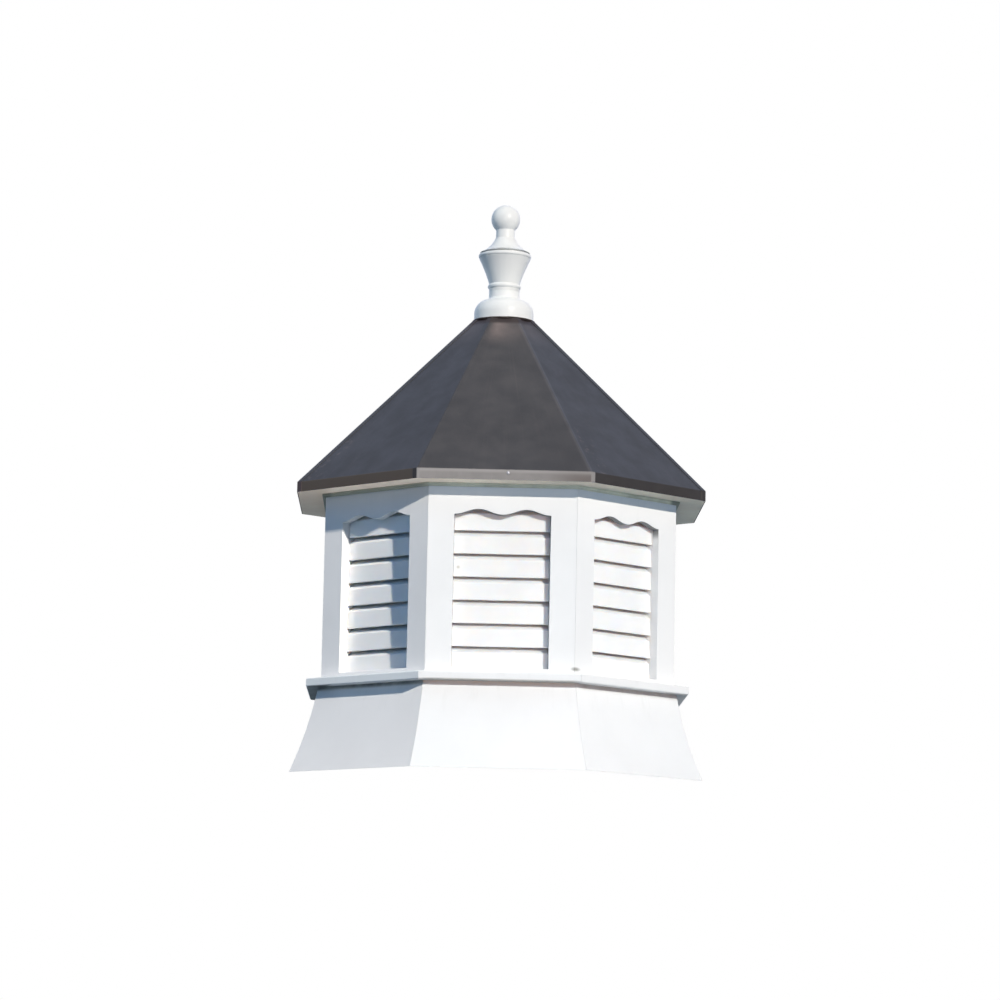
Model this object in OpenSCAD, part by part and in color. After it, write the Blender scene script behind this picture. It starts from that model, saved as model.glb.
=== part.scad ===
// Octagonal louvred garage cupola: flared vinyl base, sill, eight louvred walls
// with scalloped heads, boxed eave, folded sheet-metal roof and a turned finial.
// Millimetres, +Z up. The origin is at the middle of the foot, at ground level.
// Side 0 faces -Y, and the sides are numbered anticlockwise seen from above.

/* [Walls] */
// Width across flats over the walls
wall_w = 784; // [700:1:900]
// Height of the walls, from the sill to the soffit
wall_h = 415; // [320:1:560]
// Thickness of the wall panels
wall_t = 19; // [12:1:26]
// Width of the wall on each side of the louvred opening
stile_w = 57; // [48:1:80]
// Height of the rail under the opening
rail_h = 12; // [8:1:40]
// Height of the header over the low points of the scalloped head
header_h = 68; // [50:1:100]
// Rise of the scallops
scallop_rise = 12; // [4:1:20]
// Number of scallops across the head
scallop_n = 2; // [1:1:4]

/* [Louvres] */
// Upright distance from slat to slat
slat_pitch = 50.8; // [44:0.1:54]
// Height of a slat
slat_h = 58; // [54:1:70]
// Height of a slat's face, below the lip
slat_face_h = 38; // [30:1:44]
// How far the top of a slat's face stands behind its front edge
slat_lean = 2; // [1:0.5:4]
// How far a slat's lip reaches back over the top of its face
slat_lip = 24; // [18:1:30]
// Level thickness of a slat
slat_t = 6; // [4:0.5:8]
// Gap between the back of the wall panel and the slats' front edges
slat_gap = 1; // [0.5:0.5:12]
// Height of the lowest slat's front edge over the sill
slat_start = 9; // [5:1:14]
// Width of the upright cleats that hold the slats
cleat_w = 20; // [12:1:26]
// How far the cleats reach behind the slats
cleat_back = 2; // [1:0.5:8]
// Least height left over the slats for the head rail
head_room = 20; // [14:1:40]

/* [Sill] */
// How far the sill stands out from the walls
sill_out = 33; // [20:1:45]
// Breadth of the sill boards
sill_b = 85; // [74:1:110]
// Thickness of the sill boards
sill_t = 18; // [12:1:30]
// Small bevel along the top and bottom of the sill's front edge
sill_bevel = 2; // [0.5:0.5:4]

/* [Base] */
// How far the top of the base stands out from the walls
base_top_out = 6; // [4:1:18]
// How far the foot of the base flares out from its top
base_flare = 59; // [20:1:90]
// Height of the base
base_h = 191; // [140:1:260]
// Thickness of the base panels
base_t = 13; // [8:1:20]
// How far the flare bows inward from a straight slope
base_bow = 5.5; // [2:0.5:14]

/* [Eave] */
// How far the metal fascia stands out from the walls
eave_out = 64; // [45:1:90]
// Height of the metal fascia
fascia_h = 22.5; // [18:0.5:40]
// Breadth of the soffit boards
soffit_b = 116; // [100:1:150]
// Thickness of the soffit boards
soffit_t = 12; // [8:1:14]
// Size of the bed moulding under the soffit
bed_size = 8; // [5:0.5:16]
// Width left flat on each side of the hollow along the bed moulding
bed_fillet = 3; // [1:0.5:4]

/* [Roof] */
// Height from the top of the fascia to the point where the hips would meet
roof_rise = 477; // [380:1:560]
// Thickness of the roof sheet
sheet_t = 1; // [0.6:0.1:1.4]
// Thickness of the roof deck
deck_t = 12; // [9:1:16]
// Width in plan of the laps where one roof panel folds over the next
lap_w = 12; // [8:1:20]
// How far the ends of the hips show past the finial's foot
hip_show = 6.5; // [4:0.5:10]
// Length of the post that carries the finial
post_l = 140; // [80:1:200]

/* [Finial] */
// Diameter of the foot
foot_d = 136; // [120:1:160]
// Height of the foot's upright band
foot_h = 19; // [8:1:30]
// Radius of the foot's rounded shoulder
shoulder_r = 33; // [26:1:34]
// Diameter of the waist
waist_d = 70; // [56:1:72]
// Radius of the hollow between the shoulder and the waist
cove_r = 7; // [4:0.5:10]
// Height of the waist's bead over the foot's shoulder
bead_rise = 31; // [28:0.5:44]
// Radius of the bead's roll
bead_r = 6; // [4:0.5:8]
// Height of the cup from the bead to the rim
cup_h = 71; // [60:1:90]
// How far the cup's side bows inward
cup_bow = 1.5; // [1:0.5:5]
// Diameter over the rim
rim_d = 121; // [110:1:134]
// Radius of the rim's roll
rim_r = 5; // [4:0.5:8]
// Height of the groove between the rim and the crown
groove_h = 3; // [2:0.5:5]
// Depth of the groove behind the crown's edge
groove_d = 4; // [2:0.5:8]
// Diameter over the crown's edge
crown_d = 115; // [100:1:120]
// Height of the hollow slope from the crown's edge to the neck
crown_h = 36.5; // [24:0.5:44]
// How far the crown's slope bows inward
crown_bow = 5; // [2:0.5:6]
// Diameter of the neck
neck_d = 43; // [36:1:48]
// Height of the neck's straight part
neck_h = 17.5; // [12:0.5:28]
// Diameter of the ball
ball_d = 66; // [58:1:76]

/* [Clearances] */
// Gap at each mitre between neighbouring pieces
mitre_gap = 0.4; // [0.2:0.1:0.8]
// Gap at each end of a slat
slat_end_gap = 0.3; // [0.1:0.1:0.6]
// Gap between the finial post and the roof deck
post_gap = 0.3; // [0.1:0.1:0.6]

/* [Hidden] */
SIDES = ["front", "front_right", "right", "back_right", "back", "back_left", "left", "front_left"];
side_turn = 360 / len(SIDES);
half_turn = side_turn / 2;
function side_nodes(name) = [for (side = SIDES) str(name, "_", side)];

// Overshoot of cuts through faces
over = 10;
// Points along one scallop of the opening's head
scallop_steps = 16;
round_fn = 96;
flare_fn = 720;

// Levels
sill_z = base_h;
wall_z = sill_z + sill_t;
eave_z = wall_z + wall_h;
fascia_z = eave_z + fascia_h;
opening_z = wall_z + rail_h;
head_z = eave_z - header_h;

// Distances from the axis to the middles of the sides
wall_r = wall_w / 2;
wall_in_r = wall_r - wall_t;
sill_r = wall_r + sill_out;
base_top_r = wall_r + base_top_out;
base_r = base_top_r + base_flare;
eave_r = wall_r + eave_out;
seat_r = (foot_d / 2 + hip_show) * cos(half_turn);

// Reach of the cutting shapes, well past the whole object
reach = 4 * max(base_r, eave_r);

// The louvred opening, and the slats that fit between the sill and the head rail
opening_w = 2 * (wall_r * tan(half_turn) - stile_w);
slat_n = floor((wall_h - slat_start - slat_h - head_room) / slat_pitch) + 1;
slat_r = wall_in_r - slat_gap;
cleat_d = slat_gap + slat_lean + slat_lip + slat_t + cleat_back;

// The roof's slope, and its cut top
pitch = atan(roof_rise / eave_r);
seat_z = fascia_z + roof_rise - seat_r * tan(pitch);

// The roof is layered: level 0 is the outside of the over panels, level 1 that of
// the panels they lap, and level 2 the outside of the deck.
function layer_r(level) = eave_r - level * sheet_t;
function slope_z(level, r) = fascia_z + (eave_r - r) * tan(pitch) - level * sheet_t / cos(pitch);
function slope_r(level, z) = eave_r - (z - fascia_z + level * sheet_t / cos(pitch)) / tan(pitch);

// Centre of the circle on the right-hand side of the line from a to b that passes
// through both and bows by bow between them, and its radius
function bow_radius(a, b, bow) = (pow(norm(b - a) / 2, 2) + bow * bow) / (2 * bow);
function bow_centre(a, b, bow) =
    (a + b) / 2 + (bow_radius(a, b, bow) - bow) * [(b - a).y, -(b - a).x] / norm(b - a);

// Puts a piece made for side 0 on side k
module at_side(k) {
    rotate([0, 0, k * side_turn]) children();
}

// The eighth of the plan that faces -Y, drawn back from each mitre by half the gap
module side_wedge(gap = mitre_gap) {
    start = gap / 2 / sin(half_turn);
    half = (reach - start) * tan(half_turn);
    translate([0, 0, -reach])
        linear_extrude(2 * reach)
            polygon([[0, -start], [half, -reach], [-half, -reach]]);
}

// A run along side 0 of a section drawn as [distance from the axis, height]
module side_run(length = reach) {
    rotate([90, 0, -90])
        linear_extrude(length, center = true)
            children();
}

// The same run, cut to the mitres at both ends
module mitred_run(gap = mitre_gap) {
    intersection() {
        side_run() children();
        side_wedge(gap);
    }
}

// A closed ring of mitred runs
module mitred_ring() {
    for (k = [0 : len(SIDES) - 1])
        at_side(k) mitred_run() children();
}

// Section between two radii and two heights
module section_box(r0, r1, z0, z1) {
    translate([r0, z0]) square([r1 - r0, z1 - z0]);
}

// Flared base panel, bowed to a hollow curve, from the foot up to the sill
module base_panel() {
    foot = [base_r, 0];
    top = [base_top_r, base_h];
    centre = bow_centre(foot, top, base_bow);
    radius = bow_radius(foot, top, base_bow);
    color("white") mitred_run()
        intersection() {
            translate(centre)
                difference() {
                    circle(radius + base_t, $fn = flare_fn);
                    circle(radius, $fn = flare_fn);
                }
            section_box(0, base_r + over, 0, base_h);
        }
}

// Sill boards with eased front edges, carried by the base and carrying the walls
module sill() {
    inner = sill_r - sill_b;
    color("white") mitred_ring()
        polygon([
            [inner, sill_z], [sill_r - sill_bevel, sill_z], [sill_r, sill_z + sill_bevel],
            [sill_r, wall_z - sill_bevel], [sill_r - sill_bevel, wall_z], [inner, wall_z]]);
}

// Outline of the louvred opening, with its scalloped head
module opening_outline() {
    steps = scallop_n * scallop_steps;
    head = [for (i = [0 : steps]) [
        opening_w * (i / steps - 0.5),
        head_z + scallop_rise * (1 - cos(360 * i / scallop_steps)) / 2]];
    polygon(concat([[opening_w / 2, opening_z], [-opening_w / 2, opening_z]], head));
}

// Wall panel with the opening cut through it
module wall_panel() {
    color("white") difference() {
        mitred_run() section_box(wall_in_r, wall_r, wall_z, eave_z);
        translate([0, -wall_in_r + over, 0])
            rotate([90, 0, 0])
                linear_extrude(wall_t + 2 * over) opening_outline();
    }
}

// Section of one slat: a face that leans inward a little, and a lip bent back over it
module slat_section(z) {
    face = [[0, 0], [-slat_lean, slat_face_h], [-slat_lean - slat_lip, slat_h]];
    back = [for (i = [2 : -1 : 0]) face[i] - [slat_t, 0]];
    translate([slat_r, z]) polygon(concat(face, back));
}

// Louvre bank of one opening: slats and a head rail between two upright cleats
module louvres() {
    slat_l = opening_w - 2 * slat_end_gap;
    head_rail_z = wall_z + slat_start + (slat_n - 1) * slat_pitch + slat_h + slat_t;
    back_r = wall_in_r - cleat_d;
    color("whitesmoke") {
        for (i = [0 : slat_n - 1])
            side_run(slat_l) slat_section(wall_z + slat_start + i * slat_pitch);
        side_run(slat_l) section_box(back_r, wall_in_r, head_rail_z, eave_z);
        for (end = [-1, 1])
            translate([end * (opening_w + cleat_w) / 2, 0, 0])
                side_run(cleat_w) section_box(back_r, wall_in_r, wall_z, eave_z);
    }
}

// Hollow bed moulding in the corner between the walls and the soffit
module bed_moulding() {
    color("white") mitred_ring()
        difference() {
            section_box(wall_r, wall_r + bed_size, eave_z - bed_size, eave_z);
            translate([wall_r + bed_size, eave_z - bed_size])
                circle(bed_size - bed_fillet, $fn = round_fn);
        }
}

// Soffit boards on top of the walls, out to the metal fascia
module soffit() {
    color("antiquewhite") mitred_ring()
        section_box(layer_r(2) - soffit_b, layer_r(2), eave_z, eave_z + soffit_t);
}

// Section of the roof deck, which stands on the soffit and lies under the sheet
module deck_section() {
    deck_foot_z = eave_z + soffit_t;
    inside = 2 + deck_t / sheet_t;
    polygon([
        [layer_r(2), deck_foot_z], [layer_r(2), slope_z(2, layer_r(2))],
        [slope_r(2, seat_z), seat_z], [slope_r(inside, seat_z), seat_z],
        [slope_r(inside, deck_foot_z), deck_foot_z]]);
}

// Roof deck, one board under each roof panel
module roof_deck() {
    color("burlywood") mitred_ring() deck_section();
}

// Section of folded roof sheet at one level: the slope and the upright fascia
module sheet_section(level) {
    outer = layer_r(level);
    inner = layer_r(level + 1);
    polygon([
        [outer, eave_z], [outer, slope_z(level, outer)], [slope_r(level, seat_z), seat_z],
        [slope_r(level + 1, seat_z), seat_z], [inner, slope_z(level + 1, inner)], [inner, eave_z]]);
}

// The roof's block over three neighbouring sides, filled up to one level, drawn past
// its foot and its top
module roof_block(level, past) {
    intersection_for(k = [-1 : 1])
        at_side(k) side_run()
            polygon([
                [layer_r(level), eave_z - past], [layer_r(level), slope_z(level, layer_r(level))],
                [slope_r(level, seat_z + past), seat_z + past],
                [-reach, seat_z + past], [-reach, eave_z - past]]);
}

// Over panel: sheet of one side with a lap folded over each neighbour
module over_panel() {
    intersection() {
        difference() {
            roof_block(0, 0);
            roof_block(1, over);
        }
        side_wedge(-2 * lap_w);
    }
}

// Roof panel of side k: over panels on the square sides, lapped ones between them
module roof_panel(k) {
    color("dimgray")
        if (k % 2 == 0) over_panel();
        else mitred_run() sheet_section(1);
}

// Eight-sided post inside the roof's top that the finial is fixed to
module finial_post() {
    inside = 2 + deck_t / sheet_t;
    post_r = (slope_r(inside, seat_z) - post_gap) / cos(half_turn);
    color("burlywood") translate([0, 0, seat_z - post_l])
        rotate([0, 0, half_turn]) cylinder(r = post_r, h = post_l, $fn = len(SIDES));
}

// Section side of a hollow between two points of the finial's outline
module hollow_cut(a, b, bow) {
    translate(bow_centre(a, b, bow))
        circle(bow_radius(a, b, bow), $fn = 4 * round_fn);
}

// Outline of the turned finial, from its axis outward
module finial_outline() {
    shoulder_z = foot_h + shoulder_r;
    bead_z = shoulder_z + bead_rise;
    rim_z = bead_z + cup_h;
    groove_z = rim_z + rim_r;
    crown_z = groove_z + groove_h;
    neck_z = crown_z + crown_h;
    ball_z = neck_z + neck_h + sqrt(pow(ball_d / 2, 2) - pow(neck_d / 2, 2));
    foot_r = foot_d / 2;
    waist_r = waist_d / 2;
    rim_edge = rim_d / 2 - rim_r;
    neck_r = neck_d / 2;
    cup_foot = [waist_r, bead_z + bead_r];
    cup_top = [rim_d / 2 - rim_r / 4, rim_z - rim_r];
    crown_r = crown_d / 2;
    crown_foot = [crown_r, crown_z];
    crown_top = [neck_r, neck_z];
    shoulder = [foot_r - shoulder_r, foot_h];
    cove_x = waist_r + cove_r;
    cove = [cove_x, foot_h + sqrt(pow(shoulder_r + cove_r, 2) - pow(cove_x - shoulder.x, 2))];

    square([foot_r, foot_h]);
    translate([0, foot_h]) square([shoulder.x, shoulder_r]);
    intersection() {
        translate(shoulder) circle(shoulder_r, $fn = round_fn);
        square([foot_r, shoulder_z]);
    }
    difference() {
        polygon([[0, foot_h], shoulder, cove, [0, cove.y]]);
        translate(cove) circle(cove_r, $fn = round_fn);
    }
    square([waist_r, cup_foot.y]);
    translate([waist_r - bead_r / 2, bead_z]) circle(bead_r, $fn = round_fn);
    difference() {
        polygon([[0, cup_foot.y], cup_foot, cup_top, [0, cup_top.y]]);
        hollow_cut(cup_foot, cup_top, cup_bow);
    }
    translate([0, rim_z - rim_r]) square([rim_edge, 2 * rim_r]);
    translate([rim_edge, rim_z]) circle(rim_r, $fn = round_fn);
    translate([0, rim_z]) square([crown_r - groove_d, crown_z - rim_z]);
    difference() {
        polygon([[0, crown_z], crown_foot, crown_top, [0, neck_z]]);
        hollow_cut(crown_foot, crown_top, crown_bow);
    }
    translate([0, neck_z]) square([neck_r, ball_z - neck_z]);
    intersection() {
        translate([0, ball_z]) circle(ball_d / 2, $fn = round_fn);
        translate([0, neck_z]) square([ball_d, ball_z - neck_z + ball_d]);
    }
}

// Turned finial on the roof's cut top
module finial() {
    color("white") translate([0, 0, seat_z])
        rotate_extrude($fn = round_fn) finial_outline();
}

for (k = [0 : len(SIDES) - 1]) {
    at_side(k) base_panel();
    at_side(k) wall_panel();
    at_side(k) louvres();
    at_side(k) roof_panel(k);
}
sill();
bed_moulding();
soffit();
roof_deck();
finial_post();
finial();
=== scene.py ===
"""Dresses the louvred garage cupola: eased vinyl boards, folded roof sheet, turned finial, finishes and stage."""

import math

import bmesh
import bpy
from bpy.props import FloatProperty, FloatVectorProperty, PointerProperty
from mathutils import Matrix, Vector, noise


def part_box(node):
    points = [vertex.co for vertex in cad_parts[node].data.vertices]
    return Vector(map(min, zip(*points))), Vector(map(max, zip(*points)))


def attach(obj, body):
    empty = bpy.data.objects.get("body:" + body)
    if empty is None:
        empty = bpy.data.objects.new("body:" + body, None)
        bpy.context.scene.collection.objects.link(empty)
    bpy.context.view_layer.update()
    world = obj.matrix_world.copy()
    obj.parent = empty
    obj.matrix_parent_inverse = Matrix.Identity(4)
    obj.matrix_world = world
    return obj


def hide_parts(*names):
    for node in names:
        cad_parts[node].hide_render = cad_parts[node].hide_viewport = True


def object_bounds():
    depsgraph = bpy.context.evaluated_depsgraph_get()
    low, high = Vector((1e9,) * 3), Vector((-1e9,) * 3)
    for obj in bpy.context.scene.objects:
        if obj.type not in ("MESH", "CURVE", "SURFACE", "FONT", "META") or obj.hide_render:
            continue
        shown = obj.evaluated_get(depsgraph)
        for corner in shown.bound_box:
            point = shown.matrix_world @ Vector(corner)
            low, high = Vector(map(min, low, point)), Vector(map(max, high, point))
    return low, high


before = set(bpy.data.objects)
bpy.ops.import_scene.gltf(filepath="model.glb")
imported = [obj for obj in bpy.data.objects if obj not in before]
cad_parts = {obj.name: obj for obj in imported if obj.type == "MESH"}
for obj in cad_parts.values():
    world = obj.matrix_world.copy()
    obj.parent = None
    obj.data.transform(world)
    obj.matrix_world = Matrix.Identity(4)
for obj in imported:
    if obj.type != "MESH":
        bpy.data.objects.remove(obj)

bl_info = {
    "name": "Garage cupola",
    "version": (1, 0, 0),
    "blender": (4, 5, 0),
    "location": "View3D > Sidebar > Cupola",
    "description": "Vinyl, sheet-metal and trim finishes for an eight-sided louvred cupola",
    "category": "Object",
}

CAD_BOX = [list(corner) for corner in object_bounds()]

# The eight sides, anticlockwise from the front as seen from above; the square ones lap over the diagonal ones
SIDES = ("front", "front_right", "right", "back_right", "back", "back_left", "left", "front_left")
SIDE_TURN = math.radians(45)
OVER_SIDES = SIDES[0::2]
UNDER_SIDES = SIDES[1::2]

# Pieces that some lamps light alone or leave out
SUNNY_PIECES = [kind + side + "_eased" for kind in ("base_panel_", "louvres_") for side in ("front", "front_right")]
LEFT_PIECES = [kind + "_front_left_eased" for kind in ("base_panel", "wall_panel", "louvres")]
EAVE_PIECES = ["soffit_eased"]

# Distances from the middle between which the front side's corners lie, from the walls out to the base
CORNER = (0.15, 0.19)

# Marks on the front, each as its middle and its half sizes in X and Z
WALL_SCUFF = ((0.1645, 0.2222), (0.0115, 0.0052))
SLAT_SPOT = ((-0.0946, 0.4419), (0.0048, 0.0044))

# Height from which the openings' cut edges get painted shade, and heights of the finial's darker rings over its foot
HEAD_SHADE_FROM = 0.53
FINIAL_WAIST, FINIAL_RIM = 0.0745, 0.1625

# How close points are when they are merged, and when they count as on a mitre
MERGE_WITHIN = 0.00002
MITRE_WITHIN = 0.0008
BLACK = (0.0, 0.0, 0.0)
WHITE = (1.0, 1.0, 1.0)


# Settings


def length(name, description, default):
    return FloatProperty(name=name, description=description, default=default, min=0.0, unit="LENGTH", precision=4)


def colour(name, description, default):
    return FloatVectorProperty(
        name=name, description=description, default=default, size=3, min=0.0, max=1.0, subtype="COLOR"
    )


def angle(name, description, degrees):
    return FloatProperty(name=name, description=description, default=math.radians(degrees), subtype="ANGLE")


def amount(name, description, default):
    return FloatProperty(name=name, description=description, default=default, min=0.0)


class CupolaEdges(bpy.types.PropertyGroup):
    """Sizes of the eased edges, folds, fixings and soil."""

    base: length("Base ease", "Rounding along the edges of the base panels", 0.0014)
    sill: length("Sill ease", "Rounding along the edges of the sill boards", 0.0009)
    wall: length("Wall ease", "Rounding round the louvred openings", 0.0010)
    slat: length("Slat ease", "Rounding along the edges of the slats", 0.0016)
    eave: length("Eave ease", "Rounding along the edges of the soffit boards", 0.0008)
    fold: length("Sheet fold", "Rounding along the folds of the roof sheet", 0.0018)
    finial: length("Finial ease", "Rounding along the finial's turned edges", 0.0008)
    slat_pitch: length("Slat pitch", "Rise from one slat to the next", 0.0508)
    slat_start: length("Slat start", "Height at which the slats' steps start over the foot of their bank", 0.009)
    # Soil line: height of the band of painted shade and soil under the sill
    shade_and_soil_line: length("Soil line", "Height of the soil that settles under the sill", 0.012)
    fascia_h: length("Fascia", "Height of the roof sheet's upright fascia", 0.0225)
    bead: length("Sealant bead", "Radius of the bead of sealant round the finial's foot", 0.003)
    bead_ring: length("Sealant ring", "Distance of the bead of sealant from the axis", 0.0695)
    screw_d: length("Screw head", "Diameter of the fascia screws' heads", 0.0075)
    screw_drop: length("Screw drop", "Distance of the screws below the top of the fascia", 0.0068)
    screw_side: length("Screw side", "Distance of the screws to the right of the fascia's middle", 0.009)


class CupolaColours(bpy.types.PropertyGroup):
    """Colours of the finishes."""

    vinyl: colour("Vinyl", "White of the vinyl boards", (0.83, 0.835, 0.84))
    slat: colour("Slats", "White of the louvre slats", (0.87, 0.87, 0.865))
    # Grime is also the colour of painted shade: on the base's left under the sill, under the sill's ends and on the
    # openings' cut edges
    grime_and_shade: colour("Grime", "Soil that rain leaves on the vinyl", (0.42, 0.42, 0.39))
    # Soil is used here as painted shade: at the bottom edge of the front sill boards and under the sill on the base's
    # right
    soil: colour("Soil", "Brown soil that gathers under the sill", (0.25, 0.22, 0.17))
    # Painted warm shade: tan in the shadow under the front of the sill and at the eave's left end
    stain: colour("Stain", "Tan stain under the front of the sill and at the eave's left end", (0.62, 0.50, 0.36))
    # Soffit: its cream also paints warm light bounced up onto a white underside
    soffit: colour("Soffit", "Cream of the soffit's underside", (0.99, 0.89, 0.74))
    # Bed moulding: its olive grey partly paints the shade where the soffit meets the walls
    bed: colour("Bed moulding", "Olive grey of the strip between the walls and the soffit", (0.68, 0.66, 0.52))
    sheet: colour("Roof sheet", "Dark bronze of the painted roof sheet", (0.029, 0.029, 0.030))
    chalk: colour("Chalk", "Faded bloom on the roof sheet", (0.16, 0.125, 0.115))
    # Hip highlight: painted highlight along the lap at the lapping panels' right hips
    hip_highlight: colour("Hem", "Worn edge of the lap at a panel's right hip", (0.14, 0.135, 0.15))
    # Painted glint: the lapping fascias' pale taupe stands in for the sun's glint on dark bronze
    glinting_fascia: colour("Over fascias", "Faded taupe of the lapping panels' fascias", (0.222, 0.206, 0.197))
    under_fascia: colour("Under fascias", "Black-brown of the lapped panels' fascias", (0.031, 0.026, 0.022))
    left_fascia: colour("Left fascias", "Browner fascias of the lapped panels on the left", (0.084, 0.064, 0.048))
    # Painted shade at the lapping fascias' right ends
    fascia_shade: colour("Worn fascias", "Brown at the lapping fascias' right ends", (0.10, 0.078, 0.070))
    tab: colour("Tabs", "Dark brown of the lapping fascias' right tabs, but for the front's", (0.066, 0.047, 0.046))
    sealant: colour("Sealant", "Dark brown of the sealant round the finial", (0.020, 0.013, 0.011))
    wood: colour("Wood", "Plywood and softwood inside the roof", (0.50, 0.35, 0.20))
    finial: colour("Finial", "White of the moulded finial", (0.815, 0.815, 0.80))
    zinc: colour("Zinc", "Plated screw heads", (0.40, 0.39, 0.40))


class CupolaStage(bpy.types.PropertyGroup):
    """Floor, lamps and camera."""

    floor_w: length("Floor", "Width of the floor", 9.0)
    floor_tint: colour("Floor colour", "Pale colour of the floor", (0.80, 0.79, 0.77))
    floor_bounce: colour("Floor bounce", "Colour of the light that the floor throws back", (0.14, 0.19, 0.22))
    floor_glow: amount("Floor glow", "How much the floor glows where the camera sees it", 0.42)
    sun_power: amount("Key light", "Strength of the key light", 3.16)
    sun_tint: colour("Key colour", "Colour of the key light", (1.0, 0.92, 0.81))
    sunny_tint: colour("Sunny key colour", "Key light on the pieces with the warm reflector", (0.86, 0.87, 0.81))
    left_share: amount("Left key share", "Key light added on the side that it grazes", 0.86)
    sun_side: angle("Key side", "How far the key light stands to the right of the front", 29.0)
    sun_height: angle("Key height", "How high the key light stands over the floor", 20.5)
    sun_size: angle("Key size", "Apparent width of the key light", 1.6)
    sky_power: amount("Fill light", "Strength of the light from all round", 0.18)
    sky_tint: colour("Fill colour", "Colour of the light from all round", (0.17, 0.50, 1.0))
    sheen_power: amount("Sheen light", "Strength of the sky that shows in sheen", 1.04)
    sheen_tint: colour("Sheen colour", "Colour of the sky that shows in sheen", (0.66, 0.735, 1.0))
    lens_mm: FloatProperty(name="Lens", description="Focal length on a 36 mm frame", default=144.0, min=10.0)
    camera_away: length("Camera distance", "Level distance of the camera from the axis", 9.029)
    camera_drop: length("Camera drop", "Height of the floor over the camera", 0.587)
    camera_side: angle("Camera side", "How far the camera stands to the left of the front", 0.98)
    camera_rise: angle("Camera tilt", "How far the camera looks up", 7.75)
    camera_roll: angle("Camera roll", "How far the camera leans anticlockwise", 1.18)


def edges():
    return bpy.context.scene.cupola_edges


def stage_settings():
    return bpy.context.scene.cupola_stage


def paint(key, share=1.0):
    """One of the finishes' colours, made darker or lighter."""
    return shade(getattr(bpy.context.scene.cupola_colours, key), share)


def shade(tint, share):
    return tuple(min(1.0, part * share) for part in tint)


# Finishes


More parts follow.
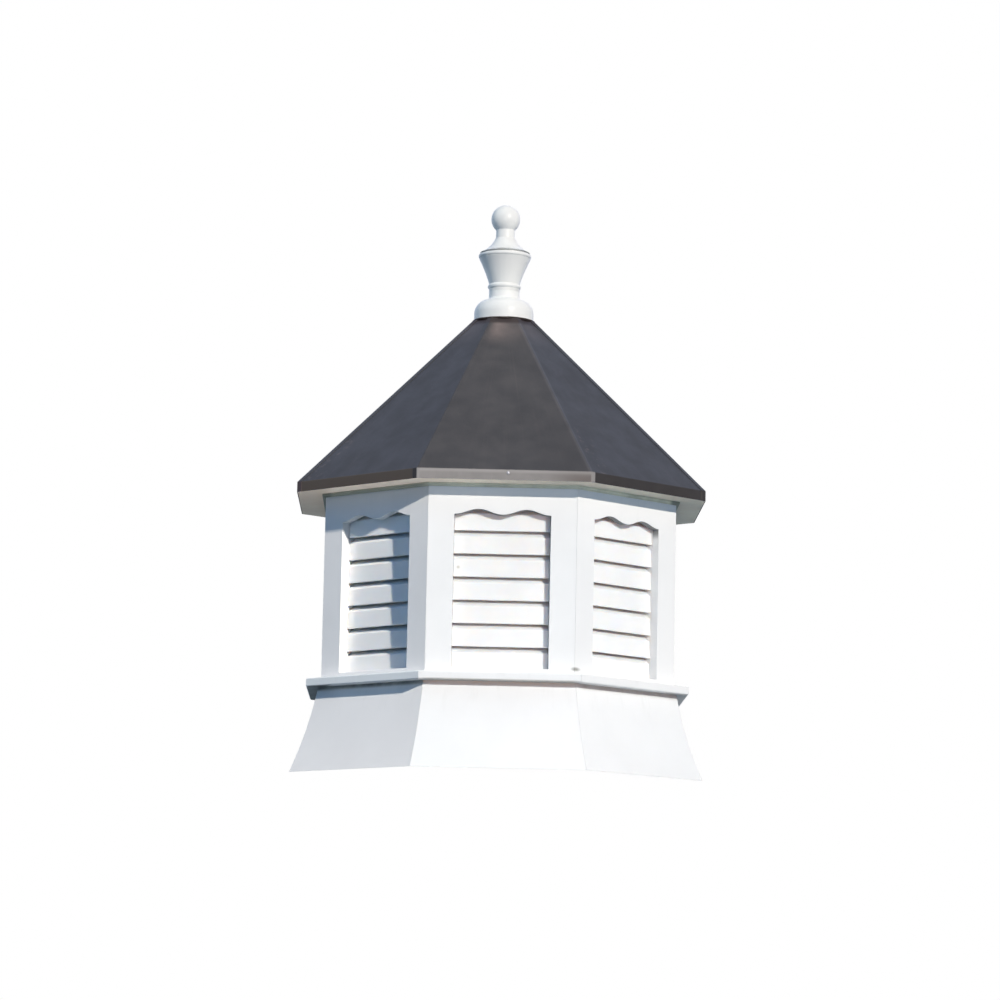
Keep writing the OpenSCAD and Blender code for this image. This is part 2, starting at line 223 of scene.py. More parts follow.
class Bench:
    """A material under construction, with short ways to add its nodes."""

    def __init__(self, name):
        self.material = bpy.data.materials.new(name)
        self.material.use_nodes = True
        self.tree = self.material.node_tree
        self.tree.nodes.clear()
        self.output = self.tree.nodes.new("ShaderNodeOutputMaterial")
        self.shader = self.tree.nodes.new("ShaderNodeBsdfPrincipled")
        self.tree.links.new(self.shader.outputs[0], self.output.inputs["Surface"])
        self.place = self.tree.nodes.new("ShaderNodeTexCoord").outputs["Object"]
        axes = self.node("ShaderNodeSeparateXYZ", {0: self.place})
        self.x, self.y, self.z = axes.outputs[0], axes.outputs[1], axes.outputs[2]

    def node(self, kind, inputs, **settings):
        made = self.tree.nodes.new(kind)
        for key, value in settings.items():
            setattr(made, key, value)
        for key, value in inputs.items():
            self.feed(value, made.inputs[key])
        return made

    def feed(self, value, socket):
        if isinstance(value, bpy.types.NodeSocket):
            self.tree.links.new(value, socket)
        else:
            socket.default_value = value

    def surface(self, **inputs):
        """Feeds the shader's sockets, named with _ for each space."""
        for key, value in inputs.items():
            self.feed(value, self.shader.inputs[key.replace("_", " ")])

    def maths(self, operation, a, b=0.0):
        return self.node("ShaderNodeMath", {0: a, 1: b}, operation=operation).outputs[0]

    def times(self, first, *others):
        """Product of masks and numbers."""
        for other in others:
            first = self.maths("MULTIPLY", first, other)
        return first

    def joined(self, x, y, z):
        return self.node("ShaderNodeCombineXYZ", {0: x, 1: y, 2: z}).outputs[0]

    def stretched(self, scale):
        return self.node("ShaderNodeMapping", {"Vector": self.place, "Scale": scale}).outputs[0]

    def noise(self, scale, detail=3.0, rough=0.55, at=None):
        inputs = {"Vector": at or self.place, "Scale": scale, "Detail": detail, "Roughness": rough}
        return self.node("ShaderNodeTexNoise", inputs).outputs[0]

    def band(self, value, low, high, start=0.0, end=1.0):
        """Goes smoothly from start to end as a value goes from low to high."""
        inputs = {0: value, 1: low, 2: high, 3: start, 4: end}
        return self.node("ShaderNodeMapRange", inputs, interpolation_type="SMOOTHSTEP").outputs[0]

    def blend(self, share, first, second):
        """Colour that goes from the first to the second with a mask."""
        made = self.node("ShaderNodeMix", {}, data_type="RGBA", blend_type="MIX")
        self.feed(share, made.inputs[0])
        for value, socket in ((first, made.inputs[6]), (second, made.inputs[7])):
            self.feed(value if isinstance(value, bpy.types.NodeSocket) else (*value, 1.0), socket)
        return made.outputs[2]

    def mottled(self, scale, detail, tint, dark, light, rough=0.55):
        """A tint that drifts between a darker and a lighter share of itself."""
        drift = self.band(self.noise(scale, detail, rough), 0.3, 0.7)
        return self.blend(drift, shade(tint, dark), shade(tint, light))

    def bump(self, height, depth, strength=1.0, over=None):
        inputs = {"Height": height, "Distance": depth, "Strength": strength}
        if over is not None:
            inputs["Normal"] = over
        return self.node("ShaderNodeBump", inputs).outputs[0]

    def spot(self, middle, size):
        """Mask of an upright oval mark on the front, 1 at its middle and 0 past its edge."""
        across = self.maths("DIVIDE", self.maths("SUBTRACT", self.x, middle[0]), size[0])
        up = self.maths("DIVIDE", self.maths("SUBTRACT", self.z, middle[1]), size[1])
        away = self.maths("SQRT", self.maths("ADD", self.times(across, across), self.times(up, up)))
        return self.times(self.band(away, 0.15, 1.25, 1.0, 0.0), self.band(self.y, -0.05, 0.0, 1.0, 0.0))

    def ring(self, height, inner, outer, share):
        """Mask of a level ring, full within inner of its height and gone past outer."""
        return self.band(self.maths("ABSOLUTE", self.maths("SUBTRACT", self.z, height)), inner, outer, share, 0.0)

    def turned(self):
        """Angle round the axis from the front, in sides, and distance from the axis."""
        swept = self.maths("ARCTAN2", self.x, self.times(self.y, -1.0))
        flat = self.joined(self.x, self.y, 0.0)
        away = self.node("ShaderNodeVectorMath", {0: flat}, operation="LENGTH").outputs["Value"]
        return self.maths("DIVIDE", swept, SIDE_TURN), away

    def apothem(self):
        """Distance from the axis, square to the nearest side."""
        side, away = self.turned()
        from_middle = self.times(self.maths("SUBTRACT", side, self.maths("ROUND", side)), SIDE_TURN)
        return self.times(away, self.maths("COSINE", from_middle))


class VinylBench(Bench):
    """Satin white vinyl board: faint mottle, speckle, and rain streaks that fade downward from a height."""

    def __init__(self, name, streak_top, streak_length, soil):
        super().__init__(name)
        tint = paint("vinyl")
        body = self.mottled(5.0, 4.0, tint, 0.975, 1.015)
        speck = self.band(self.noise(330.0, 2.0, 0.7), 0.72, 0.8, 0.0, 0.10)
        body = self.blend(speck, body, shade(tint, 0.72))
        runs = self.band(self.noise(1.0, 4.0, 0.6, self.stretched((46.0, 46.0, 1.6))), 0.52, 0.78)
        fade = self.band(self.z, streak_top - streak_length, streak_top)
        self.body = self.blend(self.times(runs, fade, soil), body, paint("grime_and_shade"))

    def finished(self):
        """Sets the sheen, with fine bump over a slow ripple."""
        ripple = self.bump(self.noise(7.0, 2.0), 0.004, 0.06)
        self.surface(
            Base_Color=self.body,
            Roughness=self.band(self.noise(38.0, 3.0), 0.25, 0.75, 0.40, 0.54),
            Normal=self.bump(self.noise(420.0, 2.0), 0.0004, 0.10, ripple),
            IOR=1.48,
            Specular_IOR_Level=0.2,
        )
        return self.material


def base_finish():
    """Base panels with painted shade and soil under the sill: dark on the left, tan in front and brown on the right.
    """
    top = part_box("base_panel_front")[1].z
    line = edges().shade_and_soil_line
    bench = VinylBench("base_vinyl_weathered", top, 0.10, 0.12)
    # Painted shade and soil under the sill: dark grime on the left, tan shading in front, brown soil on the right,
    # reaching lower on the right
    past_left = bench.band(bench.x, -0.19, -0.14)
    on_right = bench.band(bench.x, *CORNER)
    foot = bench.maths("SUBTRACT", top, bench.band(bench.x, *CORNER, line, 1.4 * line))
    patches = bench.band(bench.noise(30.0, 3.0), 0.2, 0.8, 0.65, 0.95)
    lighter_off_left = bench.times(past_left, bench.band(bench.x, *CORNER, 0.45, 0.3))
    shade_and_soil = bench.times(bench.band(bench.z, foot, top - 0.3 * line), patches, bench.maths("SUBTRACT", 1.0, lighter_off_left))
    soil = bench.blend(past_left, paint("grime_and_shade", 0.40), paint("stain"))
    soil = bench.blend(on_right, soil, paint("soil"))
    bench.body = bench.blend(shade_and_soil, bench.body, soil)
    return bench.finished()


def sill_finish():
    """Sill boards with painted shade at the bottom edge of the front boards and on the undersides at the two ends."""
    low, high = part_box("sill")
    bench = VinylBench("trim_vinyl_satin", high.z, 0.02, 0.10)
    # Painted shade along the bottom edge of the front boards, so that their dark line starts higher
    in_front = bench.band(bench.maths("ABSOLUTE", bench.x), *CORNER, 1.0, 0.0)
    drip = bench.times(bench.band(bench.z, low.z + 0.0015, low.z + 0.005, 0.55, 0.0), in_front)
    bench.body = bench.blend(drip, bench.body, paint("soil"))
    # Painted shade on the undersides at the two ends
    ends = bench.maths("ADD", bench.band(bench.x, -0.36, -0.385), bench.band(bench.x, 0.36, 0.385, 0.0, 0.4))
    under = bench.times(bench.band(bench.z, low.z + 0.0002, low.z + 0.001, 0.85, 0.0), ends)
    bench.body = bench.blend(under, bench.body, paint("grime_and_shade", 0.15))
    return bench.finished()


def wall_finish():
    """Wall panels: painted shade on the openings' cut heads, but for the left ones, and a scuff at a front corner."""
    low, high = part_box("wall_panel_front")
    face = -low.y
    bench = VinylBench("wall_vinyl_satin", high.z, 0.12, 0.08)
    # Painted shade on the scallops' cut edges, but for the left walls
    behind_face = bench.band(bench.apothem(), face - 0.0022, face - 0.0008, 1.0, 0.0)
    at_head = bench.band(bench.z, HEAD_SHADE_FROM, HEAD_SHADE_FROM + 0.02, 0.0, 0.75)
    cut = bench.times(behind_face, at_head, bench.band(bench.x, -0.19, -0.15))
    bench.body = bench.blend(cut, bench.body, paint("grime_and_shade", 0.20))
    bench.body = bench.blend(bench.spot(*WALL_SCUFF), bench.body, paint("grime_and_shade", 0.75))
    return bench.finished()


def louvre_finish():
    """White slats with dust at the back of each one, under the slat above, and a spot on the front bank."""
    bench = Bench("louvre_vinyl_dusty")
    tint = paint("slat")
    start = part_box("louvres_front")[0].z + edges().slat_start
    step = bench.maths("FRACT", bench.maths("DIVIDE", bench.maths("SUBTRACT", bench.z, start), edges().slat_pitch))
    patches = bench.band(bench.noise(26.0, 4.0), 0.2, 0.8, 0.35, 1.0)
    dust = bench.times(bench.band(step, 0.75, 1.0, 0.0, 0.08), patches)
    body = bench.blend(dust, bench.mottled(9.0, 4.0, tint, 0.97, 1.015), paint("grime_and_shade"))
    speck = bench.band(bench.noise(280.0, 2.0, 0.7), 0.72, 0.8, 0.0, 0.10)
    body = bench.blend(speck, body, shade(tint, 0.7))
    drawn = bench.noise(1.0, 2.0, 0.5, bench.stretched((30.0, 30.0, 420.0)))
    bench.surface(
        Base_Color=bench.blend(bench.times(bench.spot(*SLAT_SPOT), 0.65), body, paint("grime_and_shade")),
        Roughness=bench.band(bench.noise(42.0, 3.0), 0.25, 0.75, 0.42, 0.56),
        Normal=bench.bump(drawn, 0.0004, 0.12),
        Subsurface_Weight=0.7,
        Subsurface_Radius=(1.0, 0.85, 0.7),
        Subsurface_Scale=0.008,
        IOR=1.48,
        Specular_IOR_Level=0.2,
    )
    return bench.material


def soffit_finish():
    """Eave underside: cream that paints warm bounce light, painted shade to the right and at its left end, water marks
    at the drip edge.
    """
    bench = Bench("soffit_tan")
    # The cream tint also paints warm bounce light
    tint = paint("soffit")
    body = bench.mottled(11.0, 5.0, tint, 0.94, 1.06, rough=0.6)
    # Painted shade: dimmer toward the right
    body = bench.blend(bench.band(bench.x, -0.22, 0.30, 0.0, 0.24), body, BLACK)
    # Painted shade at the left end, in the tan shading colour
    body = bench.blend(bench.band(bench.x, -0.37, -0.41, 0.0, 0.55), body, paint("stain"))
    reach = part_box("soffit")[1].x
    away = bench.turned()[1]
    marks = bench.band(bench.noise(34.0, 4.0), 0.4, 0.7)
    edge = bench.times(bench.band(away, reach - 0.03, reach + 0.02), marks, 0.35)
    bench.surface(
        Base_Color=bench.blend(edge, body, shade(tint, 0.7)),
        Roughness=bench.band(bench.noise(60.0, 2.0), 0.3, 0.7, 0.55, 0.72),
        Normal=bench.bump(bench.noise(160.0, 3.0), 0.0005, 0.2),
    )
    return bench.material


class SheetBench(Bench):
    """Dark painted roof sheet, measured across each panel, past its right hip and down its fascia."""

    def __init__(self, name, lapping):
        super().__init__(name)
        low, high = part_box("roof_panel_front")
        self.lapping = lapping
        self.top = high.z
        self.fold = low.z + edges().fascia_h
        self.side, self.away = self.turned()
        pairs = self.maths("DIVIDE", self.maths("SUBTRACT", self.side, 0.0 if lapping else 1.0), 2.0)
        self.across = self.times(self.maths("SUBTRACT", pairs, self.maths("ROUND", pairs)), 2.0)
        self.past_hip = self.times(self.maths("SUBTRACT", self.across, 0.5), self.times(self.away, SIDE_TURN))
        self.drop = self.maths("DIVIDE", self.maths("SUBTRACT", self.fold, self.z), edges().fascia_h)

    def slope(self):
        """Soft mottle and runs, bloom and painted shadow under the finial, and a painted highlight at the lap or
        scuffs by the left hip.
        """
        tint = paint("sheet")
        drift = self.band(self.noise(5.0, 5.0, 0.6), 0.3, 0.72)
        body = self.blend(drift, shade(tint, 0.92), shade(tint, 1.09))
        down = self.joined(self.times(self.side, 24.0), self.times(self.away, 3.0), self.z)
        runs = self.band(self.noise(1.0, 4.0, 0.6, down), 0.50, 0.80, 0.0, 0.05)
        body = self.blend(runs, body, paint("chalk"))
        bloom = self.times(
            self.band(self.z, self.top - 0.085, self.top - 0.022),
            self.band(self.across, -0.55, 0.6, 1.0, 0.15),
            self.band(self.across, -0.52, -0.2),
            self.band(self.noise(26.0, 3.0), 0.25, 0.7, 0.6, 1.0),
            1.0 if self.lapping else 0.25,
        )
        body = self.blend(bloom, body, paint("chalk", 1.25))
        if self.lapping:
            # Painted highlight along the lap, just past the right hip
            hip_highlight = self.times(
                self.band(self.past_hip, -0.007, -0.001),
                self.band(self.past_hip, 0.003, 0.0065, 1.0, 0.0),
                self.band(self.noise(14.0, 3.0), 0.3, 0.7, 0.16, 0.26),
            )
            body = self.blend(hip_highlight, body, paint("hip_highlight"))
        else:
            scuffs = self.times(
                self.band(self.across, -0.25, -0.45),
                self.band(self.z, self.fold + 0.14, self.fold + 0.08),
                self.band(self.noise(60.0, 4.0, 0.65), 0.52, 0.72, 0.0, 0.42),
            )
            body = self.blend(scuffs, body, paint("chalk"))
        # Painted shadow under the finial's foot, in the sealant's dark brown
        body = self.blend(self.band(self.z, self.top - 0.019, self.top - 0.010), body, paint("sealant"))
        spots = self.band(self.noise(120.0, 3.0, 0.7), 0.68, 0.78, 0.0, 0.2)
        return self.blend(spots, body, shade(tint, 1.6))

    def fascia(self):
        """Soiled upright edge.

        A lapped panel's is browner on the left. A lapping one's pale taupe is a painted glint, with a painted
        highlight at the fold, painted shade toward its right end and bottom, and a tab at each end, lighter as painted
        highlight.
        """
        # A lapping panel's pale taupe is a painted glint
        tint = paint("glinting_fascia" if self.lapping else "under_fascia")
        body = self.mottled(24.0, 4.0, tint, 0.92, 1.08)
        if not self.lapping:
            return self.blend(self.band(self.x, 0.0, -0.1), body, paint("left_fascia"))
        # Painted highlight along the fold
        body = self.blend(self.band(self.drop, 0.15, 0.42, 1.0, 0.0), body, shade(tint, 1.3))
        # Painted shade toward the right end and the bottom
        right_shade = self.times(self.band(self.across, 0.15, 0.5), self.band(self.drop, 0.1, 0.6, 0.35, 0.85))
        body = self.blend(right_shade, body, paint("fascia_shade"))
        # Tabs at each end, lighter as painted highlight
        right_tab = self.band(self.past_hip, -0.001, 0.001)
        tabs = self.maths("MAXIMUM", right_tab, self.band(self.across, -0.482, -0.492))
        body = self.blend(tabs, body, shade(tint, 1.15))
        past_front = self.band(self.y, -0.44, -0.40)
        body = self.blend(self.times(right_tab, past_front), body, paint("tab"))
        return self.blend(self.band(self.across, -0.5, -0.506), body, paint("under_fascia"))

    def finished(self):
        ripple = self.bump(self.noise(4.0, 2.0), 0.012, 0.08)
        self.surface(
            Base_Color=self.blend(self.band(self.drop, -0.06, 0.06), self.slope(), self.fascia()),
            Roughness=self.band(self.noise(18.0, 4.0), 0.25, 0.75, 0.40, 0.52),
            Normal=self.bump(self.noise(260.0, 2.0), 0.0003, 0.12, ripple),
            IOR=1.5,
            Specular_IOR_Level=0.24,
        )
        return self.material


def sealant_finish():
    """Dark caulk, matt and a little lumpy."""
    bench = Bench("sealant_brown")
    bench.surface(
        Base_Color=bench.mottled(90.0, 3.0, paint("sealant"), 0.8, 1.5),
        Roughness=bench.band(bench.noise(120.0, 2.0), 0.3, 0.7, 0.6, 0.8),
        Normal=bench.bump(bench.noise(160.0, 3.0), 0.0006, 0.4),
        Specular_IOR_Level=0.25,
    )
    return bench.material


def bed_finish():
    """Olive-grey trim strip, partly painted shade, with dust along it, and painted shade darker on the left and at
    both ends.
    """
    bench = Bench("bed_olive")
    # Olive-grey tone, partly painted shade under the soffit
    tint = paint("bed")
    body = bench.mottled(18.0, 4.0, tint, 0.85, 1.15)
    # Painted shade: darker on the left and darkest at the two ends
    body = bench.blend(bench.band(bench.x, -0.15, -0.19), body, shade(tint, 0.68))
    body = bench.blend(bench.band(bench.maths("ABSOLUTE", bench.x), 0.375, 0.385), body, shade(tint, 0.45))
    dust = bench.band(bench.noise(140.0, 3.0, 0.7), 0.6, 0.75, 0.0, 0.3)
    bench.surface(
        Base_Color=bench.blend(dust, body, paint("grime_and_shade")),
        Roughness=bench.band(bench.noise(60.0, 2.0), 0.3, 0.7, 0.55, 0.7),
        Normal=bench.bump(bench.noise(200.0, 2.0), 0.0004, 0.15),
        Specular_IOR_Level=0.2,
    )
    return bench.material


def wood_finish(name, scale):
    """Bare wood: grain along each board's rise, knots and darker late wood."""
    bench = Bench(name)
    tint = paint("wood")
    side, away = bench.turned()
    along = bench.joined(bench.times(side, 3.0), bench.times(away, 0.8), bench.times(bench.z, 0.8))
    wave = {"Vector": along, "Scale": scale, "Distortion": 5.0, "Detail": 3.0, "Detail Scale": 1.4}
    ring = bench.node("ShaderNodeTexWave", wave).outputs[1]
    knots = bench.band(bench.noise(2.2, 3.0, 0.5, along), 0.62, 0.78, 0.0, 0.6)
    body = bench.blend(bench.band(ring, 0.1, 0.95), shade(tint, 0.72), shade(tint, 1.18))
    bench.surface(
        Base_Color=bench.blend(knots, body, shade(tint, 0.45)),
        Roughness=bench.band(ring, 0.0, 1.0, 0.62, 0.78),
        Normal=bench.bump(ring, 0.0006, 0.3),
    )
    return bench.material


def finial_finish():
    """Soft-gloss white moulding, darker in rings at its waist and at its rim."""
    bench = Bench("finial_vinyl_gloss")
    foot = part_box("finial")[0].z
    # Darker rings at the waist and at the rim
    waist = bench.ring(foot + FINIAL_WAIST, 0.002, 0.006, 0.40)
    rim = bench.ring(foot + FINIAL_RIM, 0.0025, 0.0045, 0.80)
    patches = bench.band(bench.noise(40.0, 4.0), 0.3, 0.7, 0.4, 1.0)
    soil = bench.times(bench.maths("ADD", waist, rim), patches)
    bench.surface(
        Base_Color=bench.blend(soil, bench.mottled(14.0, 4.0, paint("finial"), 0.97, 1.015), paint("grime_and_shade")),
        Roughness=bench.band(bench.noise(30.0, 3.0), 0.25, 0.75, 0.26, 0.36),
        Normal=bench.bump(bench.noise(200.0, 2.0), 0.0004, 0.08),
        IOR=1.48,
        Specular_IOR_Level=0.2,
    )
    return bench.material


def zinc_finish():
    """Bright plated screw heads with dulled patches."""
    bench = Bench("zinc_plate")
    bench.surface(
        Base_Color=bench.mottled(300.0, 3.0, paint("zinc"), 0.8, 1.1),
        Metallic=0.6,
        Roughness=bench.band(bench.noise(420.0, 2.0), 0.3, 0.7, 0.45, 0.6),
    )
    return bench.material


# Shapes


def near_mitre(point):
    """Is a point on one of the upright planes where two sides meet?"""
    away = math.hypot(point.x, point.y)
    sides = math.atan2(point.x, -point.y) / SIDE_TURN
    off = (sides - math.floor(sides) - 0.5) * SIDE_TURN
    return abs(math.sin(off)) * away < MITRE_WITHIN


def piece_from(shape, name, material):
    """Makes a finished bmesh a piece of the cupola, at the origin, riding on its one body."""
    mesh = bpy.data.meshes.new(name)
    shape.to_mesh(mesh)
    shape.free()
    mesh.materials.append(material)
    piece = bpy.data.objects.new(name, mesh)
    bpy.context.scene.collection.objects.link(piece)
    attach(piece, "root")
    return piece


def smoothed(piece, degrees=40.0):
    """Smooth shading across the eased edges only, with flat faces kept flat."""
    for face in piece.data.polygons:
        face.use_smooth = True
    piece.data.set_sharp_from_angle(angle=math.radians(degrees))
    weighted = piece.modifiers.new("flat_faces", "WEIGHTED_NORMAL")
    weighted.keep_sharp = True
    return piece


def eased(node, ease, segments, material, slot, sharpest=24.0, widest=180.0, at_mitres=False):
    """A piece with the node's own shape and its sharp edges rounded, which stands for the node."""
    shape = bmesh.new()
    shape.from_mesh(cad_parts[node].data)
    bmesh.ops.remove_doubles(shape, verts=shape.verts, dist=MERGE_WITHIN)
    bmesh.ops.dissolve_limit(shape, angle_limit=math.radians(0.2), verts=shape.verts, edges=shape.edges)
    picked = []
    for edge in shape.edges:
        if not edge.is_manifold or not math.radians(sharpest) < edge.calc_face_angle() < math.radians(widest):
            continue
        if at_mitres or not all(near_mitre(end.co) for end in edge.verts):
            picked.append(edge)
    bmesh.ops.bevel(
        shape,
        geom=picked,
        offset=ease,
        offset_type="OFFSET",
        segments=segments,
        profile=0.5,
        affect="EDGES",
        clamp_overlap=True,
        material=-1,
    )
    piece = piece_from(shape, node + "_eased", material)
    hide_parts(node)
    return smoothed(piece)


def refinish(node, material):
    """Gives a node that keeps its own shape a finish."""
    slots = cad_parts[node].data.materials
    slots.clear()
    slots.append(material)


# Operators


class CUPOLA_OT_base(bpy.types.Operator):
    """Dress the flared base panels"""

    bl_idname = "cupola.base"
    bl_label = "Base panels"

    def execute(self, context):
        finish = base_finish()
        for side in SIDES:
            eased("base_panel_" + side, edges().base, 2, finish, "base_vinyl")
        return {"FINISHED"}


class CUPOLA_OT_sill(bpy.types.Operator):
    """Dress the sill boards and the bed moulding"""

    bl_idname = "cupola.sill"
    bl_label = "Sill"

    def execute(self, context):
        eased("sill", edges().sill, 2, sill_finish(), "trim_vinyl")
        refinish("bed_moulding", bed_finish())
        return {"FINISHED"}


class CUPOLA_OT_walls(bpy.types.Operator):
    """Dress the wall panels and their scalloped openings"""

    bl_idname = "cupola.walls"
    bl_label = "Wall panels"

    def execute(self, context):
        finish = wall_finish()
        for side in SIDES:
            eased("wall_panel_" + side, edges().wall, 2, finish, "wall_vinyl")
        return {"FINISHED"}


class CUPOLA_OT_louvres(bpy.types.Operator):
    """Dress the louvre banks"""

    bl_idname = "cupola.louvres"
    bl_label = "Louvres"

    def execute(self, context):
        finish = louvre_finish()
        for side in SIDES:
            eased("louvres_" + side, edges().slat, 3, finish, "louvre_vinyl")
        return {"FINISHED"}


class CUPOLA_OT_eave(bpy.types.Operator):
    """Dress the soffit boards"""

    bl_idname = "cupola.eave"
    bl_label = "Eave"

    def execute(self, context):
        eased("soffit", edges().eave, 2, soffit_finish(), "soffit_vinyl")
        return {"FINISHED"}


class CUPOLA_OT_roof(bpy.types.Operator):
    """Dress the folded roof sheet, the deck under it and the finial's post"""

    bl_idname = "cupola.roof"
    bl_label = "Roof"

    def execute(self, context):
        over = SheetBench("roof_sheet_over", True).finished()
        under = SheetBench("roof_sheet_under", False).finished()
        folds = {"sharpest": 12.0, "widest": 70.0, "at_mitres": True}
        for sides, finish in ((OVER_SIDES, over), (UNDER_SIDES, under)):
            for side in sides:
                eased("roof_panel_" + side, edges().fold, 3, finish, "roof_metal", **folds)
        refinish("roof_deck", wood_finish("deck_plywood", 9.0))
        refinish("finial_post", wood_finish("post_softwood", 30.0))
        return {"FINISHED"}


class CUPOLA_OT_finial(bpy.types.Operator):
    """Dress the turned finial and run a bead of sealant round its foot"""

    bl_idname = "cupola.finial"
    bl_label = "Finial"

    def execute(self, context):
        eased("finial", edges().finial, 2, finial_finish(), "finial_vinyl", sharpest=30.0)
        middle = (0.0, 0.0, 0.0)
        upright = Matrix.Rotation(math.radians(90), 3, "X")
        shape = bmesh.new()
        section = bmesh.ops.create_circle(shape, segments=10, radius=edges().bead)["verts"]
        bmesh.ops.rotate(shape, verts=section, cent=middle, matrix=upright)
        bmesh.ops.translate(shape, verts=section, vec=(edges().bead_ring, 0.0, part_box("finial")[0].z))
        bmesh.ops.spin(
            shape,
            geom=shape.verts[:] + shape.edges[:],
            cent=middle,
            axis=(0.0, 0.0, 1.0),
            angle=math.tau,
            steps=96,
            use_merge=True,
            use_duplicate=False,
        )
        bmesh.ops.remove_doubles(shape, verts=shape.verts, dist=MERGE_WITHIN)
        bmesh.ops.recalc_face_normals(shape, faces=shape.faces)
        for vert in shape.verts:
            vert.co.z += 0.0007 * noise.noise(vert.co * 60.0)
        smoothed(piece_from(shape, "finial_sealant", sealant_finish()))
        return {"FINISHED"}


class CUPOLA_OT_screws(bpy.types.Operator):
    """Add the screw near the middle of each lapping panel's fascia"""

    bl_idname = "cupola.screws"
    bl_label = "Fascia screws"

    def execute(self, context):
        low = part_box("roof_panel_front")[0]
        place = (edges().screw_side, low.y, low.z + edges().fascia_h - edges().screw_drop)
        shape = bmesh.new()
        for turn in range(0, len(SIDES), 2):
            round_axis = Matrix.Rotation(turn * SIDE_TURN, 3, "Z")
            made = bmesh.ops.create_uvsphere(shape, u_segments=20, v_segments=10, radius=edges().screw_d / 2)
            bmesh.ops.scale(shape, verts=made["verts"], vec=(1.0, 0.45, 1.0))
            bmesh.ops.translate(shape, verts=made["verts"], vec=place)
            bmesh.ops.rotate(shape, verts=made["verts"], cent=(0.0, 0.0, 0.0), matrix=round_axis)
        smoothed(piece_from(shape, "fascia_screws", zinc_finish()))
        return {"FINISHED"}


class CUPOLA_OT_stage(bpy.types.Operator):
    """Set the floor, the lights and the camera"""

    bl_idname = "cupola.stage"
    bl_label = "Stage"

    def execute(self, context):
        lay_floor()
        light_world()
        hang_key_lights()
        hang_reflectors()
        hang_fill_lights()
        stand_camera()
        context.scene.view_settings.view_transform = "Standard"
        return {"FINISHED"}


# Stage


def lay_floor():
    """Pale floor that keeps the cupola's shadow; from below it is clear, but white within the foot's outline."""
    settings = stage_settings()
    shape = bmesh.new()
    bmesh.ops.create_grid(shape, x_segments=1, y_segments=1, size=settings.floor_w / 2)
    bmesh.ops.translate(shape, verts=shape.verts, vec=(0.0, 0.0, -0.0002))
    mesh = bpy.data.meshes.new("floor")
    shape.to_mesh(mesh)
    shape.free()
    floor = bpy.data.objects.new("floor", mesh)
    bpy.context.scene.collection.objects.link(floor)
    bench = Bench("pale_floor")
    seen = bench.tree.nodes.new("ShaderNodeLightPath").outputs["Is Camera Ray"]
    pale = bench.mottled(1.5, 3.0, settings.floor_tint, 0.985, 1.01)
    bench.surface(
        Base_Color=bench.blend(seen, tuple(settings.floor_bounce), pale),
        Roughness=0.9,
        Emission_Color=(*WHITE, 1.0),
        Emission_Strength=bench.times(seen, settings.floor_glow),
    )
    clear = bench.tree.nodes.new("ShaderNodeBsdfTransparent").outputs[0]
    white = bench.node("ShaderNodeEmission", {0: (*WHITE, 1.0), 1: 1.0}).outputs[0]
    under_foot = bench.maths("LESS_THAN", bench.apothem(), CAD_BOX[1][0] + 0.0005)
    underside = bench.node("ShaderNodeMixShader", {0: under_foot, 1: clear, 2: white}).outputs[0]
    below = bench.tree.nodes.new("ShaderNodeNewGeometry").outputs["Backfacing"]
    mixed = bench.node("ShaderNodeMixShader", {0: below, 1: bench.shader.outputs[0], 2: underside}).outputs[0]
    bench.feed(mixed, bench.output.inputs["Surface"])
    mesh.materials.append(bench.material)


def light_world():
    """Even blue light from all round, a paler sky in sheen, and white where the camera sees or looks through to it."""
    settings = stage_settings()
    world = bpy.data.worlds.new("studio")
    bpy.context.scene.world = world
    world.use_nodes = True
    tree = world.node_tree
    tree.nodes.clear()

    def sky(tint, power):
        made = tree.nodes.new("ShaderNodeBackground")
        made.inputs[0].default_value = (*tint, 1.0)
        made.inputs[1].default_value = power
        return made.outputs[0]

    light = sky(settings.sky_tint, settings.sky_power)
    white = sky(WHITE, 1.0)
    sheen = sky(settings.sheen_tint, settings.sheen_power)
    path = tree.nodes.new("ShaderNodeLightPath")
    for kind, seen in (("Is Glossy Ray", sheen), ("Is Transmission Ray", white), ("Is Camera Ray", white)):
        mixed = tree.nodes.new("ShaderNodeMixShader")
        for socket, value in zip(mixed.inputs, (path.outputs[kind], light, seen)):
            tree.links.new(value, socket)
        light = mixed.outputs[0]
    tree.links.new(light, tree.nodes.new("ShaderNodeOutputWorld").inputs[0])


def hang(light, power, tint, toward=None, place=(0.0, 0.0, 0.0)):
    """Puts a lamp in the scene, at a place, shining from a direction or else straight down."""
    light.energy = power
    light.color = tint
    lamp = bpy.data.objects.new(light.name, light)
    lamp.location = place
    if toward is not None:
        lamp.rotation_euler = Vector(toward).to_track_quat("Z", "Y").to_euler()
    bpy.context.scene.collection.objects.link(lamp)
    return lamp


def lights_only(lamp, names, others=False):
    """Lets a lamp light only the named pieces, or only the others; the collection stays out of the scene."""
    picked = bpy.data.collections.new("lit_by_" + lamp.name)
    for name in names:
        picked.objects.link(bpy.data.objects[name])
    lamp.light_linking.receiver_collection = picked
    for entry in picked.collection_objects:
        entry.light_linking.link_state = "EXCLUDE" if others else "INCLUDE"


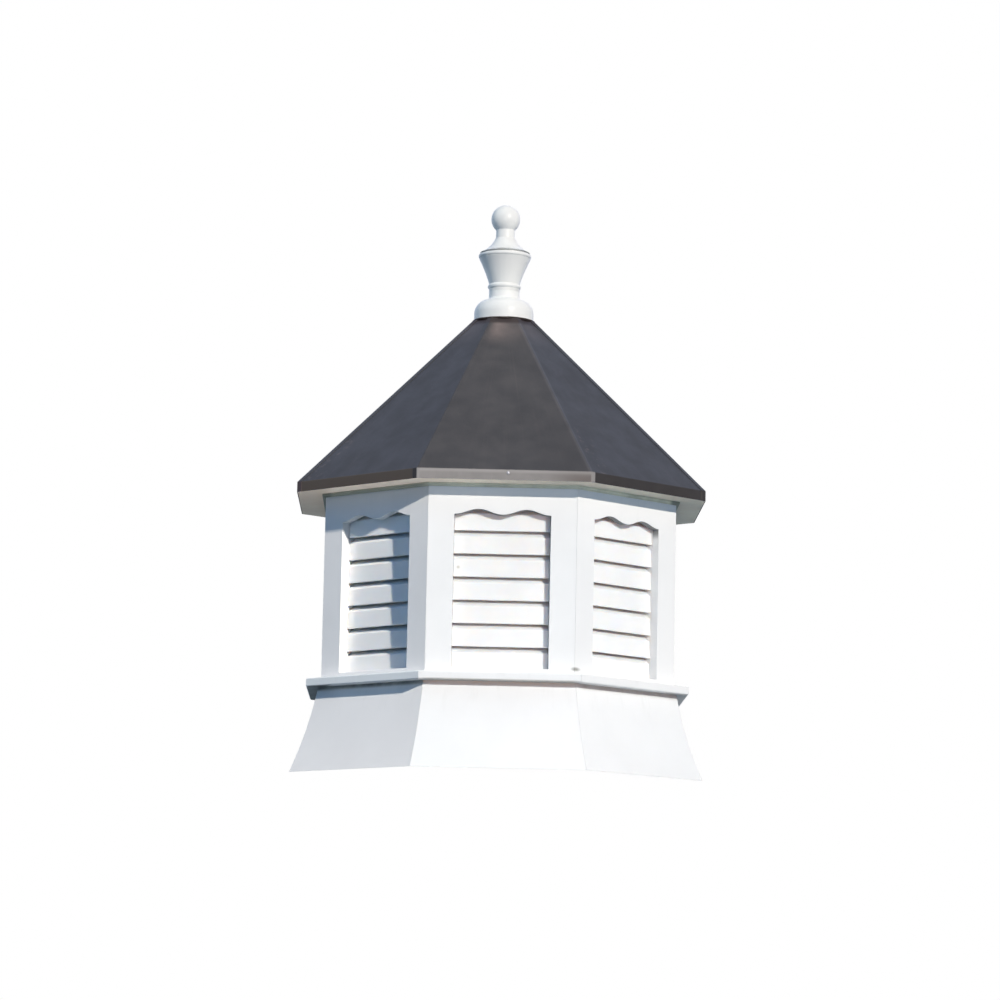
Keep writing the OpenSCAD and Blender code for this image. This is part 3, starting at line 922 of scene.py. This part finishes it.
def hang_key_lights():
    """Key light from the front right, low enough to shade the walls under the eave.

    The pieces with the warm reflector have one that is less red, and the side that it grazes has more of it.
    """
    settings = stage_settings()
    level = math.cos(settings.sun_height)
    toward = (
        level * math.sin(settings.sun_side),
        -level * math.cos(settings.sun_side),
        math.sin(settings.sun_height),
    )
    for name, share, tint, pieces, others in (
        ("key_light", 1.0, settings.sun_tint, SUNNY_PIECES, True),
        ("sunny_key_light", 1.0, settings.sunny_tint, SUNNY_PIECES, False),
        ("left_key_light", settings.left_share, settings.sun_tint, LEFT_PIECES, False),
    ):
        light = bpy.data.lights.new(name, "SUN")
        light.angle = settings.sun_size
        lights_only(hang(light, settings.sun_power * share, tint, toward), pieces, others)


def panel_lamp(name, power, tint, size, place, toward=None, in_sheen=False):
    """A flat lamp, round or oblong, that the camera doesn't see and that shows only in sheen or never there."""
    light = bpy.data.lights.new(name, "AREA")
    light.shape = "RECTANGLE" if len(size) == 2 else "DISK"
    light.size = size[0]
    if len(size) == 2:
        light.size_y = size[1]
    lamp = hang(light, power, tint, toward, place)
    lamp.visible_camera = False
    lamp.visible_diffuse = not in_sheen
    lamp.visible_glossy = in_sheen
    return lamp


def hang_reflectors():
    """A strip in front and a disk above that show only in sheen, two low reflectors in front and one for the eave."""
    low = {"size": (1.6, 0.5), "place": (0.9, -2.6, 0.05), "toward": (0.30, -1.0, -0.25)}
    panel_lamp("front_strip", 55.0, WHITE, (1.8, 0.5), (0.07, -4.45, 1.2), (0.0, -1.0, 0.14), in_sheen=True)
    panel_lamp("roof_strip", 11.0, (1.0, 0.86, 0.75), (1.2,), (0.0, 0.0, 3.8), in_sheen=True)
    cool = panel_lamp("low_reflector", 16.0, (0.62, 0.76, 1.0), **low)
    lights_only(cool, LEFT_PIECES, others=True)
    warm = panel_lamp("warm_reflector", 18.0, (1.0, 0.36, 0.03), **low)
    lights_only(warm, SUNNY_PIECES)
    eave = panel_lamp("eave_reflector", 2.7, (1.0, 0.76, 0.70), (0.3,), (-0.8, -0.8, 0.25), (-0.5, -0.5, -0.37))
    lights_only(eave, EAVE_PIECES)


def broad_light(name, power, tint, degrees, toward):
    """Soft light from a wide patch of sky, which doesn't show in sheen."""
    light = bpy.data.lights.new(name, "SUN")
    light.angle = math.radians(degrees)
    lamp = hang(light, power, tint, toward)
    lamp.visible_glossy = False
    return lamp


def hang_fill_lights():
    """Broad soft lights from the upper left, with a weaker and bluer one for the front left, and from the back."""
    upper = broad_light("upper_left_light", 1.24, (0.86, 0.96, 1.0), 40.0, (-0.8, -0.1, 0.8))
    lights_only(upper, LEFT_PIECES, others=True)
    left = broad_light("left_fill_light", 0.3, (0.35, 0.60, 1.0), 40.0, (-0.8, -0.35, 0.42))
    lights_only(left, LEFT_PIECES)
    broad_light("back_light", 1.9, WHITE, 50.0, (0.25, 0.9, 0.36))


def stand_camera():
    """Camera in front of the cupola, a little below its foot, looking up."""
    settings = stage_settings()
    lens = bpy.data.cameras.new("camera")
    lens.lens = settings.lens_mm
    lens.sensor_width = 36.0
    camera = bpy.data.objects.new("camera", lens)
    side, rise, roll = settings.camera_side, settings.camera_rise, settings.camera_roll
    ahead = Vector((math.cos(rise) * math.sin(side), math.cos(rise) * math.cos(side), math.sin(rise)))
    level = Vector((math.cos(side), -math.sin(side), 0.0))
    over = level.cross(ahead)
    right = math.cos(roll) * level + math.sin(roll) * over
    up = math.cos(roll) * over - math.sin(roll) * level
    turned = Matrix((right, up, -ahead)).transposed().to_4x4()
    away = settings.camera_away
    spot = Vector((-away * math.sin(side), -away * math.cos(side), -settings.camera_drop))
    camera.matrix_world = Matrix.Translation(spot) @ turned
    bpy.context.scene.collection.objects.link(camera)
    bpy.context.scene.camera = camera


# Registration


GROUPS = {"cupola_edges": CupolaEdges, "cupola_colours": CupolaColours, "cupola_stage": CupolaStage}
OPERATORS = (
    CUPOLA_OT_base,
    CUPOLA_OT_sill,
    CUPOLA_OT_walls,
    CUPOLA_OT_louvres,
    CUPOLA_OT_eave,
    CUPOLA_OT_roof,
    CUPOLA_OT_finial,
    CUPOLA_OT_screws,
    CUPOLA_OT_stage,
)


class CUPOLA_PT_sidebar(bpy.types.Panel):
    """Lists the cupola's pieces and settings"""

    bl_idname = "CUPOLA_PT_sidebar"
    bl_label = "Cupola"
    bl_space_type = "VIEW_3D"
    bl_region_type = "UI"
    bl_category = "Cupola"

    def draw(self, context):
        for operator in OPERATORS:
            self.layout.operator(operator.bl_idname)
        for key, kind in GROUPS.items():
            column = self.layout.column()
            for setting in kind.__annotations__:
                column.prop(getattr(context.scene, key), setting)


def register():
    for key, group in GROUPS.items():
        bpy.utils.register_class(group)
        setattr(bpy.types.Scene, key, PointerProperty(type=group))
    for operator in OPERATORS:
        bpy.utils.register_class(operator)
    bpy.utils.register_class(CUPOLA_PT_sidebar)


def unregister():
    bpy.utils.unregister_class(CUPOLA_PT_sidebar)
    for operator in reversed(OPERATORS):
        bpy.utils.unregister_class(operator)
    for key, group in reversed(GROUPS.items()):
        delattr(bpy.types.Scene, key)
        bpy.utils.unregister_class(group)


def main():
    register()
    bpy.ops.cupola.base()
    bpy.ops.cupola.sill()
    bpy.ops.cupola.walls()
    bpy.ops.cupola.louvres()
    bpy.ops.cupola.eave()
    bpy.ops.cupola.roof()
    bpy.ops.cupola.finial()
    bpy.ops.cupola.screws()
    bpy.ops.cupola.stage()


if __name__ == "__main__":
    main()
